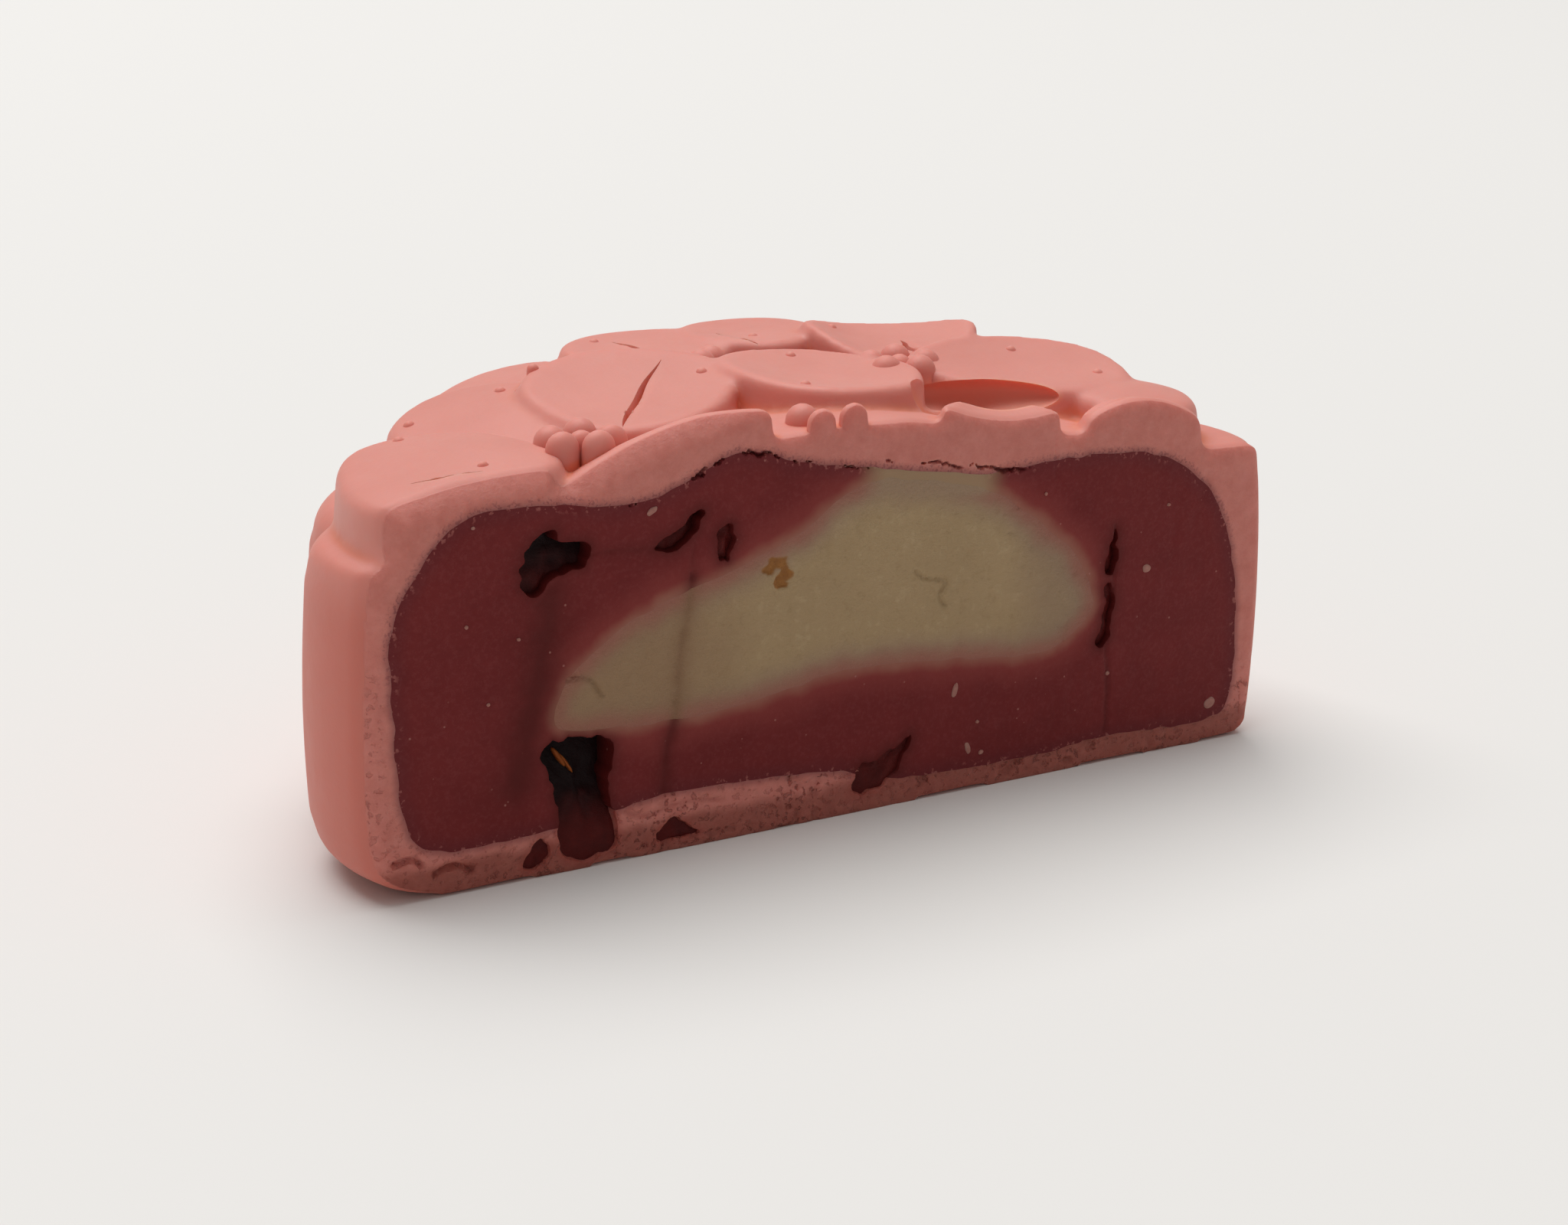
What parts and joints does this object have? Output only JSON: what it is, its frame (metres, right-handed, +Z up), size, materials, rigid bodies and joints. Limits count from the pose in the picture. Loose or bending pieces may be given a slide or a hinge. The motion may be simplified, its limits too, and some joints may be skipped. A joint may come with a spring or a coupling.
{
  "type": "half strawberry cheese mooncake",
  "caption": "Half of a round press-moulded mooncake with flowers in relief on top, cut to show a strawberry paste filling, a cheese core and pieces of dried fruit.",
  "frame": {"origin": "middle of the flat base's bounding rectangle, on the surface the cake stands on", "axes": "+X runs along the knife cut, +Y from the cut to the round back, +Z up; the cut face looks towards -Y"},
  "size_m": [0.0696, 0.0352, 0.0287],
  "materials": {
    "pink_skin": "soft salmon pink moulded dough, satin, slightly translucent, crumbly where it is cut",
    "strawberry_paste": "dense dark mauve red paste, cut smooth by the knife, faintly moist",
    "cheese": "greyish cream, finely grained and soft at its border with the paste",
    "dried_strawberry": "nearly black red dried fruit, moist and slightly glossy"
  },
  "bodies": {
    "root": {"skin": "pink_skin", "strawberry_paste": "strawberry_paste", "cheese": "cheese", "fruit_upper_left": "dried_strawberry", "fruit_upper_middle": "dried_strawberry", "fruit_upper_small": "dried_strawberry", "fruit_lower_left": "dried_strawberry", "fruit_foot_left": "dried_strawberry", "fruit_foot_middle": "dried_strawberry", "fruit_lower_middle": "dried_strawberry", "fruit_right_upper": "dried_strawberry", "fruit_right_lower": "dried_strawberry"}
  },
  "joints": []
}
